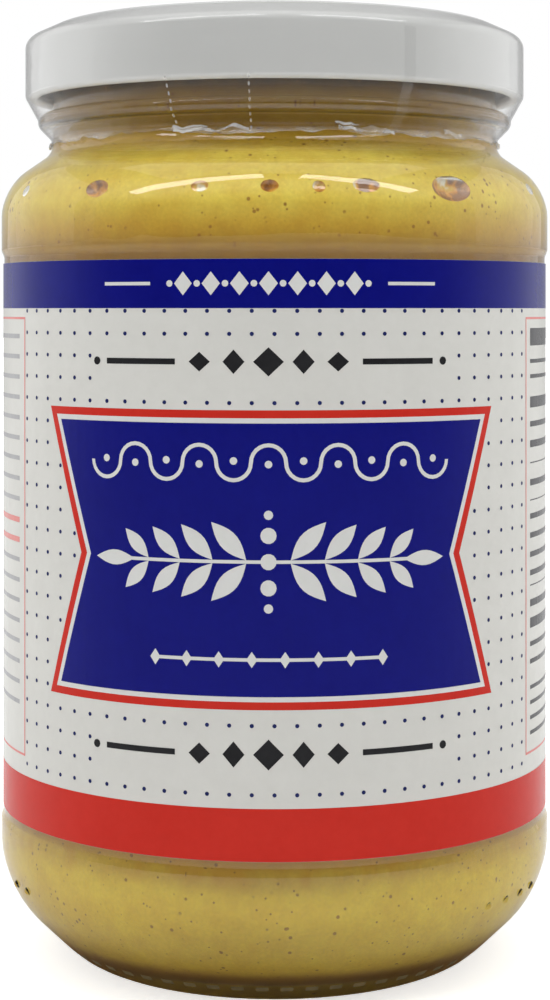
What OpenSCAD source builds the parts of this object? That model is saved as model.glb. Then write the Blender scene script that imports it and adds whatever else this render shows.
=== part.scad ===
// Mustard jar: a round glass jar of mustard under a white twist-off lid, with a clear shrink band round
// the lid and neck and a paper label round the body. Everything but the base marks is turned about the
// Z axis, which stands at the middle of the base. The front of the label faces -Y.

/* [Jar body] */
// Radius of the plain glass above and below the label
body_r = 36; // [32:0.5:44]
// Height of the corner where the heel turns into the body
heel_h = 9.7; // [8:0.1:12]
// Straight height of the body, from the heel's corner to the shoulder's
body_h = 90; // [70:1:120]
// Rounding of the heel
heel_round = 12.4; // [8:0.1:13]
// Rounding of the shoulder
shoulder_round = 7; // [5:0.5:8]
// How far the shoulder's slope leans from upright, in degrees
shoulder_lean = 55; // [45:1:60]
// Thickness of the glass round the body
body_wall = 3; // [2:0.1:3.5]
// Height of the plain glass below the label's panel, above the heel's corner
low_band_h = 9; // [6:0.5:14]
// Height of the plain glass above the label's panel, below the shoulder's corner
high_band_h = 8.9; // [7.5:0.1:14]
// How deep the label's panel is let into the body
panel_sink = 0.35; // [0.2:0.05:0.6]

/* [Base] */
// How far the heel's slope runs in from the body, down to the table
heel_run = 10.2; // [8:0.1:11.5]
// Rounding between the heel's slope and the ring that the jar stands on
foot_round = 5.4; // [3:0.1:6]
// Width of the ring that the jar stands on, up to the corner of the heel's slope
ring_w = 5; // [4:0.1:6]
// Width of the sloping part of the pushed-up base, inside the ring
push_w = 8.8; // [6:0.1:12]
// How far the base is pushed up inside the ring
push_h = 2.6; // [1:0.1:4]
// Thickness of the glass at the middle of the base
base_wall = 3.4; // [2.5:0.1:5]
// How far the floor inside falls from its middle to its edge
floor_fall = 1.2; // [0.5:0.1:1.4]
// Width of the lowest part of the floor, between its slope and the wall inside
floor_edge_w = 12; // [11:0.5:14]
// Rounding between the floor and the wall inside
floor_round = 10; // [6:0.5:11]
// Number of grip grooves across the ring that the jar stands on
grooves = 60; // [30:1:80]
// Width of a grip groove
groove_w = 1; // [0.6:0.1:1.2]
// Depth of a grip groove
groove_d = 0.25; // [0.1:0.05:0.4]

/* [Heel dots] */
// Height of the row of moulded dots on the heel
dot_z = 11.1; // [10:0.1:14]
// Radius of a moulded dot
dot_r = 0.55; // [0.4:0.05:0.8]
// How far a moulded dot stands out of the glass
dot_rise = 0.25; // [0.1:0.05:0.3]
// Angle between neighbouring dots, in degrees
dot_step = 6.3; // [4:0.1:8]
// Number of dots at the front right
right_dots = 4; // [1:1:6]
// Angle of the first dot at the front right, from the front, in degrees
right_start = 47.8; // [40:0.1:60]
// Number of dots at the front left
left_dots = 2; // [1:1:4]
// Angle of the first dot at the front left, from the front, in degrees
left_start = 61.3; // [40:0.1:70]

/* [Neck] */
// Outer radius of the neck
neck_r = 29.3; // [26:0.1:31]
// Thickness of the glass round the neck
neck_wall = 2.9; // [2.4:0.1:3.2]
// Height from the shoulder's upper corner to the rim
neck_h = 16.1; // [15:0.1:22]
// Rounding between the shoulder and the neck
neck_round = 2.5; // [1.5:0.1:3]
// Rounding of the rim's edges
rim_round = 1.3; // [0.8:0.1:1.4]
// How far the bead below the lid stands out of the neck
bead_out = 1.75; // [1.2:0.05:2]
// Height of the bead
bead_h = 2; // [1.6:0.1:2.4]
// Rounding of the bead's edges
bead_round = 0.9; // [0.5:0.05:0.95]
// Distance from the bead's middle up to the rim
bead_drop = 12; // [11.5:0.1:13]

/* [Mustard] */
// Free height between the mustard and the rim
headspace = 4; // [3:0.5:12]
// Clearance between the mustard and the glass
fill_gap = 0.05; // [0.02:0.01:0.1]

/* [Lid] */
// Height of the lid over its rolled edge
lid_h = 9.5; // [8.5:0.1:10.5]
// Thickness of the lid's sheet
lid_t = 0.25; // [0.2:0.05:0.4]
// Room between the neck and the lid's skirt
lid_room = 3.15; // [2.8:0.05:3.4]
// Clearance between the rim and the lid
seat_gap = 0.05; // [0.02:0.01:0.1]
// How far inside the neck's outer face the lid's flat ring turns into its slope
slope_in = 0.7; // [0.2:0.1:1.2]
// Slope of the lid's shoulder, in degrees from level
lid_slope = 25; // [15:1:35]
// Rounding between the lid's slope and its skirt
lid_round = 1; // [0.6:0.1:1.6]
// Radius of the roll round the lid's lower edge
roll_r = 0.8; // [0.6:0.05:0.9]
// Depth of the lid's middle below its flat ring
recess_d = 0.9; // [0.6:0.1:1.2]
// Clearance between the rim's inner edge and the step down to the lid's middle
recess_gap = 0.6; // [0.5:0.1:1.5]
// Radius of the safety button
button_r = 12; // [9:0.5:15]
// How far the safety button is pulled down
button_d = 0.5; // [0.2:0.1:0.8]
// Width of the sloping step round the button and round the lid's middle
step_w = 1.2; // [0.8:0.1:2]

/* [Shrink band] */
// Thickness of the shrink film
film_t = 0.15; // [0.1:0.05:0.25]
// Clearance between the film and what it is shrunk on to
film_gap = 0.05; // [0.02:0.01:0.1]
// Width of the film's edge on the flat ring of the lid
film_top_w = 1.2; // [0.6:0.1:1.6]

/* [Label] */
// Thickness of the label
label_t = 0.1; // [0.05:0.05:0.2]
// Clearance between the label and the glass
label_gap = 0.02; // [0.01:0.01:0.05]
// Plain margin between the label's edges and the ends of its panel
label_margin = 0.9; // [0.5:0.1:2]
// Width of the label's glued overlap at the back
label_lap = 8; // [4:0.5:12]

/* [Hidden] */
$fn = 128;
cut = 0.01; // how far a cut reaches past the face that it opens
cap_lap = 0.03; // how far a rounded corner's arc overlaps the straight-sided shape
slot_step = 0.8; // height of the sloping edge at each end of the label's panel
soft = 0.8; // rounding of small moulded steps

glass_colour = [0.86, 0.9, 0.88, 0.35];
mustard_colour = [0.77, 0.66, 0.33];
lid_colour = [0.93, 0.93, 0.92];
film_colour = [0.95, 0.95, 0.95, 0.25];
label_colour = [0.9, 0.9, 0.88];

// Heights and radii that follow from the sizes above
foot_r = body_r - heel_run;
ring_in_r = foot_r - ring_w;
push_r = ring_in_r - push_w;
heel_lean = atan2(heel_h, heel_run);
heel_top = heel_h + heel_round * tan((90 - heel_lean) / 2);
shoulder_z = heel_h + body_h;
panel_r = body_r - panel_sink;
panel_low = heel_h + low_band_h;
panel_high = shoulder_z - high_band_h;
neck_z = shoulder_z + (body_r - neck_r) / tan(shoulder_lean);
neck_top = neck_z + neck_round * tan(shoulder_lean / 2);
rim_z = neck_z + neck_h;
bead_r = neck_r + bead_out;
bead_z = rim_z - bead_drop;
bead_low = bead_z - bead_h / 2;
floor_z = push_h + base_wall;
inner_r = body_r - body_wall;
bore_r = neck_r - neck_wall;
lid_inner_r = neck_r + lid_room;
lid_r = lid_inner_r + lid_t;
seat_z = rim_z + seat_gap;
lid_top = seat_z + lid_t;
lid_low = lid_top - lid_h;

// A section is a list of corners, [distance from the axis, height, rounding]
function point(corner) = [corner[0], corner[1]];
function heading(a, b) = (point(b) - point(a)) / norm(point(b) - point(a));
function left_of(way) = [-way[1], way[0]];
function turn(before, after) = atan2(before[0] * after[1] - before[1] * after[0], before * after);
function backward(path) = [for (i = [len(path) - 1 : -1 : 0]) path[i]];

// The path that runs beside another one, a fixed distance to its left, with its roundings kept concentric
function beside(path, gap) = [
    for (i = [0 : len(path) - 1])
    let (last = len(path) - 1)
    let (before = i > 0 ? heading(path[i - 1], path[i]) : heading(path[0], path[1]))
    let (after = i < last ? heading(path[i], path[i + 1]) : before)
    let (place = point(path[i]) + (left_of(before) + left_of(after)) * gap / (1 + before * after))
    let (bend = path[i][2])
    [place[0], place[1], bend > 0 ? max(0.05, bend - sign(turn(before, after)) * gap) : 0]
];

// A sheet of even thickness, laid to the left of a path
function sheet(path, thickness) = concat(path, backward(beside(path, thickness)));

// One rounded corner as [first tangent point, second tangent point, arc's centre, rounding, turn]
function bend(corners, i) =
    let (n = len(corners))
    let (before = heading(corners[(i + n - 1) % n], corners[i]))
    let (after = heading(corners[i], corners[(i + 1) % n]))
    let (angle = turn(before, after))
    let (round = corners[i][2])
    let (reach = round * tan(abs(angle) / 2))
    let (from = point(corners[i]) - before * reach)
    let (to = point(corners[i]) + after * reach)
    let (centre = from + left_of(before) * round * sign(angle))
    [from, to, centre, round, angle];

// The round cap between a corner's chord and its arc, reaching a little way back over the chord
module cap(b) {
    chord = b[1] - b[0];
    wide = 2 * b[3];
    intersection() {
        translate(b[2]) circle(r = b[3]);
        translate(b[0]) rotate(atan2(chord[1], chord[0]))
            translate([-b[3], b[4] > 0 ? -wide : -cap_lap]) square([norm(chord) + wide, wide + cap_lap]);
    }
}

// A section with true arcs at its rounded corners, listed anticlockwise
module section(corners) {
    bends = [for (i = [0 : len(corners) - 1]) bend(corners, i)];
    difference() {
        union() {
            polygon([for (b = bends) each b[3] > 0 ? [b[0], b[1]] : [b[0]]]);
            for (b = bends) if (b[3] > 0 && b[4] > 0) cap(b);
        }
        for (b = bends) if (b[3] > 0 && b[4] < 0) cap(b);
    }
}

// The hollow of the jar from the middle of its floor to its rim. Its walls lie a wall's thickness
// inside the outside's walls, square to them.
lean_wall = body_wall * tan(shoulder_lean / 2);
hollow_shoulder_z = shoulder_z - lean_wall;
hollow_neck_z = shoulder_z
    + ((body_r - bore_r) * cos(shoulder_lean) - body_wall) / sin(shoulder_lean);
hollow = [
    [0, floor_z, 0],
    [push_r, floor_z, soft * 10],
    [inner_r - floor_edge_w, floor_z - floor_fall, soft],
    [inner_r, floor_z - floor_fall, floor_round],
    [inner_r, hollow_shoulder_z, shoulder_round - body_wall],
    [bore_r, hollow_neck_z, neck_round + neck_wall],
    [bore_r, rim_z, rim_round]
];

outside = [
    [0, push_h, 0],
    [push_r, push_h, soft * 10],
    [ring_in_r, 0, soft],
    [foot_r, 0, foot_round],
    [body_r, heel_h, heel_round],
    [body_r, panel_low - slot_step, soft],
    [panel_r, panel_low, soft],
    [panel_r, panel_high, soft],
    [body_r, panel_high + slot_step, soft],
    [body_r, shoulder_z, shoulder_round],
    [neck_r, neck_z, neck_round],
    [neck_r, bead_low, soft / 4],
    [bead_r, bead_low, bead_round],
    [bead_r, bead_z + bead_h / 2, bead_round],
    [neck_r, bead_z + bead_h / 2, soft / 4],
    [neck_r, rim_z, rim_round]
];

// The lid's underside, from its middle out to the roll at its lower edge
roll_round = roll_r * 0.9;
slope_r = neck_r - slope_in;
slope_end_z = seat_z - (lid_inner_r - slope_r) * tan(lid_slope);
recess_r = bore_r - recess_gap;
lid_under = [
    [0, seat_z - recess_d - button_d, 0],
    [button_r - step_w, seat_z - recess_d - button_d, soft],
    [button_r, seat_z - recess_d, soft],
    [recess_r - step_w, seat_z - recess_d, soft],
    [recess_r, seat_z, soft],
    [slope_r, seat_z, soft * 3],
    [lid_inner_r, slope_end_z, lid_round],
    [lid_inner_r, lid_low + 2 * roll_r, 0]
];

// The film's inner face, from the lid's top over the slope and skirt, in to the bead and down the neck
film_on_lid = beside(lid_under, lid_t + film_gap);
film_hug = film_gap + bead_round;
steep_leave_z = bead_low + bead_round * 0.6; // where the film leaves the bead when there is room to slope at 45 degrees
film_foot_z = max(steep_leave_z - bead_out, neck_top + soft / 2);
to_bead = [bead_out - bead_round - film_gap, bead_low + bead_round - film_foot_z];
film_lean = atan2(to_bead[1], to_bead[0]) - asin((bead_round + film_gap / 2) / norm(to_bead));
bead_leave_z = min(steep_leave_z, film_foot_z + bead_out * tan(film_lean));
film_foot_round = min(soft, (film_foot_z - neck_top) * 0.9 / tan((90 - film_lean) / 2));
neck_flare = neck_round * (1 - sqrt(1 - pow(tan(shoulder_lean / 2), 2)));
film_under = [
    [slope_r - film_top_w, lid_top + film_gap, 0],
    film_on_lid[5],
    film_on_lid[6],
    [lid_r + film_gap, lid_low + roll_r * 0.6, roll_round + film_gap],
    [bead_r + film_gap, bead_z + bead_h * 0.15, film_hug],
    [bead_r + film_gap, bead_leave_z, film_hug],
    [neck_r + film_gap, film_foot_z, film_foot_round],
    [neck_r + film_gap, neck_top, soft / 4],
    [neck_r + neck_flare + film_gap, neck_z, 0]
];

module groove() {
    rotate([90, 0, 90])
        linear_extrude(height = foot_r - ring_in_r + 2 * soft)
            polygon([[-groove_w / 2, -cut], [groove_w / 2, -cut], [0, groove_d]]);
}

module heel_dot(angle) {
    arc_r = body_r - heel_round;
    out = sqrt(pow(heel_round, 2) - pow(heel_top - dot_z, 2));
    tilt = atan2(dot_z - heel_top, out);
    rotate([0, 0, angle - 90])
        translate([arc_r, 0, heel_top])
            rotate([0, -tilt, 0])
                translate([heel_round + dot_rise - dot_r, 0, 0])
                    sphere(r = dot_r);
}

module glass_jar() {
    color(glass_colour) {
        difference() {
            rotate_extrude() section(concat(outside, backward(hollow)));
            for (i = [0 : grooves - 1])
                rotate([0, 0, (i + 0.5) * 360 / grooves])
                    translate([ring_in_r - soft, 0, 0])
                        groove();
        }
        for (i = [0 : right_dots - 1]) heel_dot(right_start + i * dot_step);
        for (i = [0 : left_dots - 1]) heel_dot(-left_start - i * dot_step);
    }
}

module mustard() {
    wetted = beside([for (i = [0 : len(hollow) - 2]) hollow[i]], fill_gap);
    fill_z = rim_z - headspace;
    color(mustard_colour)
        rotate_extrude()
            section(concat(wetted, [[bore_r - fill_gap, fill_z, 0], [0, fill_z, 0]]));
}

module lid() {
    roll_in_r = lid_r - 2 * roll_r;
    roll = [
        [roll_in_r, lid_low + 2 * roll_r, roll_round],
        [roll_in_r, lid_low, roll_round],
        [lid_r, lid_low, roll_round]
    ];
    above = beside(lid_under, lid_t);
    upper = [for (i = [0 : len(above) - 2]) above[i]];
    color(lid_colour)
        rotate_extrude()
            section(concat(lid_under, roll, backward(upper)));
}

module shrink_band() {
    color(film_colour)
        rotate_extrude()
            section(sheet(film_under, film_t));
}

module label_ring(from_r, angle) {
    low = panel_low + label_margin;
    rotate_extrude(angle = angle)
        translate([from_r, low])
            square([label_t, panel_high - label_margin - low]);
}

module label() {
    paper_r = panel_r + label_gap;
    lap_angle = label_lap / (paper_r + label_t) * 180 / PI;
    color(label_colour) {
        label_ring(paper_r, 360);
        rotate([0, 0, 90 - lap_angle / 2]) label_ring(paper_r + label_t, lap_angle);
    }
}

glass_jar();
mustard();
lid();
shrink_band();
label();
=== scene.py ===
# %% [markdown]
# # A jar of mustard
# This file rebuilds the looks of a jar of mustard round its measured solid model. The real jar is a
# moulded glass with a white twist-off lid, a clear band shrunk over lid and neck, and a paper label
# wrapped round the body. Everything but the print is round, so most pieces are one section, drawn
# corner by corner and spun round the upright Z axis. The print is cut from flat shapes, and bent.

# %% Load the solid model
import math
import random

import bmesh
import bpy
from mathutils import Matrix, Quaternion, Vector


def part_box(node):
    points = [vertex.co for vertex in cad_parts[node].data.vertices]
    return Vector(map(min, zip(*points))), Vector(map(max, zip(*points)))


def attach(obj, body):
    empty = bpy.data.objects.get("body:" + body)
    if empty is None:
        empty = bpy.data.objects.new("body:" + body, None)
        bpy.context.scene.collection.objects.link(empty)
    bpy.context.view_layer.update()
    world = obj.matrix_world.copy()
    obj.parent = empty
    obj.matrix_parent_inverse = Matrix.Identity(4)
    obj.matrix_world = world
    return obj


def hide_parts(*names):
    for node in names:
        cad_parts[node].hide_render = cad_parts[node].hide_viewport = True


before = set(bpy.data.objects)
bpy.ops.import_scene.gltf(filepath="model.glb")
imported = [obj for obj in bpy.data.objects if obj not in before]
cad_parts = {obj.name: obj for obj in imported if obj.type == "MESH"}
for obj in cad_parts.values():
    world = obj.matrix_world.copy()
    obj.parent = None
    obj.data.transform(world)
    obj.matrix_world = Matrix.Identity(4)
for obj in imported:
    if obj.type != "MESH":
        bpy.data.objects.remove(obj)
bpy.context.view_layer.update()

# %% [markdown]
# ## Sizes
# The solid model was drawn in millimetres, and Blender works in metres, so every size below is
# written in millimetres and multiplied by MM where it is used. The heights that pieces share are
# read from the solid model's own boxes, so that the looks follow it.

# %% Sizes that the pieces share
MM = 0.001
rim_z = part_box("glass_jar")[1].z / MM
lid_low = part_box("lid")[0].z / MM
lid_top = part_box("lid")[1].z / MM
film_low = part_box("shrink_band")[0].z / MM
label_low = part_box("label")[0].z / MM
label_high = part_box("label")[1].z / MM
fill_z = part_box("mustard")[1].z / MM
neck_r = 29.3
body_r = 36.0
panel_r = 35.65
bead_z = rim_z - 12
print("rim at", round(rim_z, 2), "and the lid from", round(lid_low, 2))
print("label from", round(label_low, 2), "to", round(label_high, 2))

# %% [markdown]
# ## The camera
# The camera looks level at the front of the jar from a little above its middle, close by, so the
# round shoulders and the base show a little perspective. An upright jar stays upright when the
# camera doesn't tilt, so the view is moved down with the lens shift instead.

# %% Camera
bpy.ops.object.select_all(action="DESELECT")
bpy.ops.object.camera_add(location=(0, -0.2856, 0.084), rotation=(math.radians(90), 0, 0))
camera = bpy.context.object
camera.name = "camera"
camera.data.sensor_width = 36
camera.data.lens = 77.3
camera.data.shift_x = 0.0005
camera.data.shift_y = -0.191
camera.data.clip_start = 0.01
bpy.context.scene.camera = camera
bpy.context.scene.view_settings.view_transform = "Standard"
print("camera lens", camera.data.lens, "mm")

# %% [markdown]
# ## Drawing a section
# A turned piece could be made from cylinders and cones joined up, or from one outline spun round an
# axis. The outline is chosen, because a moulded jar has no plain cylinders: each corner is rounded.
# A corner is written as [distance from the axis, height, rounding]. The outline starts as a small
# plane merged to one vertex, which is then extruded from corner to corner.

# %% Drawing an outline corner by corner
def place(corner):
    return Vector((corner[0] * MM, 0, corner[1] * MM))


def pick(piece, chosen):
    """Selects, in edit mode, the vertices whose place passes a test, and what lies between them."""
    bpy.ops.mesh.select_mode(type="VERT")
    bpy.ops.mesh.select_all(action="DESELECT")
    mesh = bmesh.from_edit_mesh(piece.data)
    for vertex in mesh.verts:
        vertex.select = chosen(vertex.co)
    mesh.select_flush(True)
    bmesh.update_edit_mesh(piece.data)


def draw_outline(name, corners, closed):
    bpy.ops.object.select_all(action="DESELECT")
    bpy.ops.mesh.primitive_plane_add(size=MM)
    piece = bpy.context.object
    piece.name = name
    bpy.ops.object.mode_set(mode="EDIT")
    bpy.ops.mesh.select_mode(type="VERT")
    bpy.ops.mesh.select_all(action="SELECT")
    bpy.ops.mesh.merge(type="CENTER")
    bpy.ops.transform.translate(value=place(corners[0]))
    for before, after in zip(corners, corners[1:]):
        step = place(after) - place(before)
        bpy.ops.mesh.extrude_region_move(TRANSFORM_OT_translate={"value": step})
    if closed:
        ends = (place(corners[0]), place(corners[-1]))
        pick(piece, lambda co: min((co - end).length for end in ends) < 0.001 * MM)
        bpy.ops.mesh.edge_face_add()
    return piece


# %% [markdown]
# Each corner is then rounded with a vertex bevel. Its offset is how far along the two edges the
# round begins, which follows from the rounding's radius and from how sharply the outline turns.

# %% Rounding the outline's corners
def heading(before, after):
    return (place(after) - place(before)).normalized()


def round_corners(piece, corners):
    for i, corner in enumerate(corners):
        if corner[2] > 0:
            before = heading(corners[i - 1], corner)
            after = heading(corner, corners[(i + 1) % len(corners)])
            turn = before.angle(after)
            pick(piece, lambda co: (co - place(corner)).length < 0.001 * MM)
            bpy.ops.mesh.bevel(
                offset=corner[2] * MM * math.tan(turn / 2),
                segments=max(3, round(math.degrees(turn) / 7)),
                profile=0.5,
                affect="VERTICES",
            )


# %% [markdown]
# The rounded outline is spun round the Z axis. The spin leaves a seam where it meets itself, and a
# ring of vertices in one place at each pole, so doubles are merged, and then the faces are turned
# to point outwards.

# %% Spinning an outline
AROUND = 240
SMOOTH_BELOW = math.radians(35)


def spin_outline(piece, steps=AROUND, angle=2 * math.pi):
    bpy.ops.mesh.select_all(action="SELECT")
    bpy.ops.mesh.spin(steps=steps, angle=angle, center=(0, 0, 0), axis=(0, 0, 1))
    bpy.ops.mesh.select_all(action="SELECT")
    bpy.ops.mesh.remove_doubles(threshold=0.001 * MM)
    bpy.ops.mesh.normals_make_consistent(inside=False)
    bpy.ops.object.mode_set(mode="OBJECT")
    bpy.ops.object.shade_smooth_by_angle(angle=SMOOTH_BELOW)


def turned(name, corners, closed=False):
    piece = draw_outline(name, corners, closed)
    round_corners(piece, corners)
    spin_outline(piece)
    print(name, "has", len(piece.data.polygons), "faces")
    return piece


# %% [markdown]
# A sheet, such as the lid's tinplate or the film, is a path with another path beside it. The second
# path keeps the same distance all along, and its roundings stay concentric with the first one's.

# %% A path beside a path
def beside(path, gap):
    """The path that runs a fixed distance to the left of another one, seen from the front."""
    moved = []
    for i, corner in enumerate(path):
        before = heading(path[i - 1], corner) if i else heading(path[0], path[1])
        after = heading(corner, path[i + 1]) if i < len(path) - 1 else before
        out = Vector((-before.z - after.z, 0, before.x + after.x)) * gap / (1 + before.dot(after))
        side = before.x * after.z - before.z * after.x
        bend = max(0.05, corner[2] - math.copysign(gap, side)) if corner[2] > 0 else 0
        moved.append([corner[0] + out.x, corner[1] + out.z, bend])
    return moved


# %% [markdown]
# ## The glass
# The real jar is blown in a two-part mould: a thick pushed-up base on a ring with grip grooves, a
# sloping heel, a straight body with a shallow panel let in for the label, a round shoulder and a
# neck with a bead. One outline goes up the outside and comes down the hollow, so the wall has its
# real thickness and bends light as the real one does.

# %% The jar's two outlines
foot_r = 25.8
heel_top = 9.7
heel_bend = 12.4
pad_low, pad_high = 2.2, 2.85


def heel_r(z):
    """The heel's slope between the ring it stands on and the body."""
    return foot_r + (body_r - foot_r) * z / heel_top


outside = [
    [0, 2.6, 0], [12, 2.6, 8], [20.8, 0, 0.8], [foot_r, 0, 5.4],
    [heel_r(pad_low), pad_low, 0], [heel_r(pad_high), pad_high, 0], [body_r, heel_top, heel_bend],
    [body_r, 17.9, 0.8], [panel_r, 18.7, 0.8], [panel_r, 90.8, 0.8], [body_r, 91.6, 0.8],
    [body_r, 99.7, 7], [neck_r, 104.39, 2.5], [neck_r, bead_z - 1, 0.2], [31.05, bead_z - 1, 0.9],
    [31.05, bead_z + 1, 0.9], [neck_r, bead_z + 1, 0.2], [neck_r, rim_z, 1.3],
]
hollow = [
    [0, 6, 0], [12, 6, 8], [21, 4.8, 0.8], [33, 4.8, 10], [33, 98.14, 4],
    [26.4, 102.76, 5.4], [26.4, rim_z, 1.3],
]
glass = turned("jar_glass", outside + hollow[::-1])

# %% [markdown]
# The ring that the jar stands on has sixty small grooves across it. They could be cut with a
# Boolean, but each one is only a V as wide as two faces, so the middle row of vertices of each
# groove is picked by its angle and lifted.

# %% Grip grooves across the ring
groove_pitch = 6
groove_deep = 0.22


def angle_of(co):
    return math.degrees(math.atan2(co.y, co.x)) % 360


def on_a_groove(co):
    across = abs(angle_of(co) % groove_pitch - groove_pitch / 2) < 0.1
    return across and co.z < 0.2 * MM and co.xy.length > 20.2 * MM


bpy.ops.object.mode_set(mode="EDIT")
pick(glass, on_a_groove)
bpy.ops.transform.translate(value=(0, 0, groove_deep * MM))
print("grooves cut, lowest glass at", min(v.co.z for v in glass.data.vertices))

# %% [markdown]
# Just above the ring, a row of low pads runs round the heel, one beside each groove. They keep warm
# jars from scraping each other on the belt. Their vertices are picked and pushed outwards a little.

# %% Pads round the heel
def on_a_pad(co):
    across = abs(angle_of(co) % groove_pitch - groove_pitch / 2) < 1.6
    return across and (pad_low - 0.05) * MM < co.z < (pad_high + 0.05) * MM and co.xy.length > 27 * MM


pick(glass, on_a_pad)
bpy.ops.transform.resize(value=(1.004, 1.004, 1), center_override=(0, 0, 0))
bpy.ops.object.mode_set(mode="OBJECT")
print("pads at", pad_low, "to", pad_high, "mm")

# %% [markdown]
# Low on the heel, two short rows of dots stand out of the glass, where the mould had small drilled
# pits. A pit's dot is the cap of a ball, so balls are sunk in the heel and joined with a Boolean,
# which leaves one closed skin and no glass walls inside the glass.

# %% Mould dots on the heel
heel_centre = (23.6, 15.01)
dot_z = 11.1
dot_r = 0.55
dot_proud = 0.25
dot_angles = [47.8 + 6.3 * i for i in range(4)] + [-61.3 - 6.3 * i for i in range(2)]


# %% Places round the jar
def from_front(angle, radius, height):
    """A place round the jar. The angle starts at the front, -Y, and grows towards +X."""
    turn = math.radians(angle)
    return Vector((math.sin(turn) * radius, -math.cos(turn) * radius, height)) * MM


def on_a_bend(angle, bend_centre, radius, tilt):
    """A place on a round of the jar's section, at an angle from the front and a tilt from level."""
    out = bend_centre[0] + radius * math.cos(tilt)
    up = bend_centre[1] + radius * math.sin(tilt)
    return from_front(angle, out, up)


# %% Joining and cutting pieces
def select_only(*pieces):
    bpy.ops.object.select_all(action="DESELECT")
    for piece in pieces:
        piece.select_set(True)
    bpy.context.view_layer.objects.active = pieces[0]


def settle():
    """Moves the selected piece's own place, turn and size into its mesh."""
    bpy.ops.object.transform_apply(location=True, rotation=True, scale=True)


def join_all(pieces, name):
    select_only(*pieces)
    bpy.ops.object.join()
    pieces[0].name = name
    return pieces[0]


def cut_or_join(piece, tool, operation):
    select_only(piece)
    boolean = piece.modifiers.new(operation, "BOOLEAN")
    boolean.operation = operation
    boolean.object = tool
    bpy.ops.object.modifier_apply(modifier=boolean.name)
    bpy.data.objects.remove(tool)


# %% Balls sunk in the heel
lean = math.asin((dot_z - heel_centre[1]) / heel_bend)
reach = heel_bend + dot_proud - dot_r
balls = []
for angle in dot_angles:
    centre = on_a_bend(angle, heel_centre, reach, lean)
    bpy.ops.object.select_all(action="DESELECT")
    bpy.ops.mesh.primitive_uv_sphere_add(segments=20, ring_count=12, radius=dot_r * MM, location=centre)
    settle()
    balls.append(bpy.context.object)
cut_or_join(glass, join_all(balls, "dots"), "UNION")
bpy.ops.object.shade_smooth_by_angle(angle=SMOOTH_BELOW)
print("glass with dots has", len(glass.data.polygons), "faces")

# %% [markdown]
# ## The mustard
# The mustard fills the hollow, so its skin is the hollow's own outline. If the two skins lay in the
# same place, they would flicker, and with a gap there would be air between them and the jar would
# look silvery. So the mustard reaches a twentieth of a millimetre into the wall.

# %% The mustard's body
wetted = beside(hollow[:-1], -0.05)
mustard = turned("mustard_fill", wetted + [[26.45, fill_z, 0.6], [0, fill_z, 0]])

# %% [markdown]
# Thick mustard traps a few air pockets under the shoulder when the jar is filled. Each is a shallow
# hollow in the mustard's skin, and the bare glass in front of it shines. They are cut with
# flattened balls that lean with the shoulder. A pocket is written as [angle from the front, width,
# height, how far up the shoulder's bend in degrees].

# %% Air pockets under the shoulder
bend_centre = (29, 96.06)
bend_r = 4.05
pockets = [
    [-39.5, 3.4, 2.0, 30], [-15.3, 2.1, 1.3, 31], [-1, 2.1, 1.5, 31], [9, 1.5, 1.4, 30], [19, 3.3, 1.7, 33],
    [39.5, 6.0, 3.0, 31], [71, 2.2, 1.2, 33], [104, 3.4, 1.6, 30], [131, 1.5, 1.3, 26], [158, 4.2, 2.3, 31],
    [-66, 1.8, 1.2, 30], [-98, 2.8, 1.5, 34], [-122, 5.1, 2.7, 29], [-163, 1.7, 1.1, 30],
]
pocket_places = []
balls = []
for angle, wide, high, up in pockets:
    tilt = math.radians(up)
    centre = on_a_bend(angle, bend_centre, bend_r, tilt)
    bpy.ops.object.select_all(action="DESELECT")
    bpy.ops.mesh.primitive_uv_sphere_add(segments=28, ring_count=16, radius=MM / 2, location=centre)
    ball = bpy.context.object
    ball.scale = (0.5 * high + 0.5, wide, high)
    ball.rotation_euler = (0, -tilt, math.radians(angle - 90))
    settle()
    balls.append(ball)
    pocket_places.append((centre, 0.6 * wide * MM))
cut_or_join(mustard, join_all(balls, "pockets"), "DIFFERENCE")
bpy.ops.object.shade_smooth_by_angle(angle=SMOOTH_BELOW)
print("mustard with", len(pockets), "pockets has", len(mustard.data.polygons), "faces")

# %% [markdown]
# ## The lid
# A twist-off lid is stamped from lacquered tinplate: a sunk middle with a safety button, a flat
# ring over the glass rim, a sloping shoulder, a plain skirt and a rolled edge that grips the neck.
# It is one sheet, drawn as its underside, the roll, and the same path beside it on the way back.

# %% The lid's sheet and roll
seat_z = rim_z + 0.05
lid_r = 32.7
slope_end_z = seat_z - 3.85 * math.tan(math.radians(25))
lid_under = [
    [0, seat_z - 1.4, 0], [10.8, seat_z - 1.4, 0.8], [12, seat_z - 0.9, 0.8], [24.6, seat_z - 0.9, 0.8],
    [25.8, seat_z, 0.8], [28.6, seat_z, 2.4], [32.45, slope_end_z, 1], [32.45, lid_low + 1.6, 0],
]
roll = [[lid_r - 1.6, lid_low + 1.6, 0.72], [lid_r - 1.6, lid_low, 0.72], [lid_r, lid_low, 0.72]]
lid_above = beside(lid_under, 0.25)
lid = turned("lid_shell", lid_under + roll + lid_above[-2::-1])

# %% [markdown]
# ## The shrink band
# The clear band is a sleeve of thin film, shrunk with hot air until it hugs the lid, the bead and
# the neck. It has a real thickness, so it gets two faces, and more corners near its lower hem, where
# the real film ends in small crinkles. Points are added along the hem before the spin.

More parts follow.
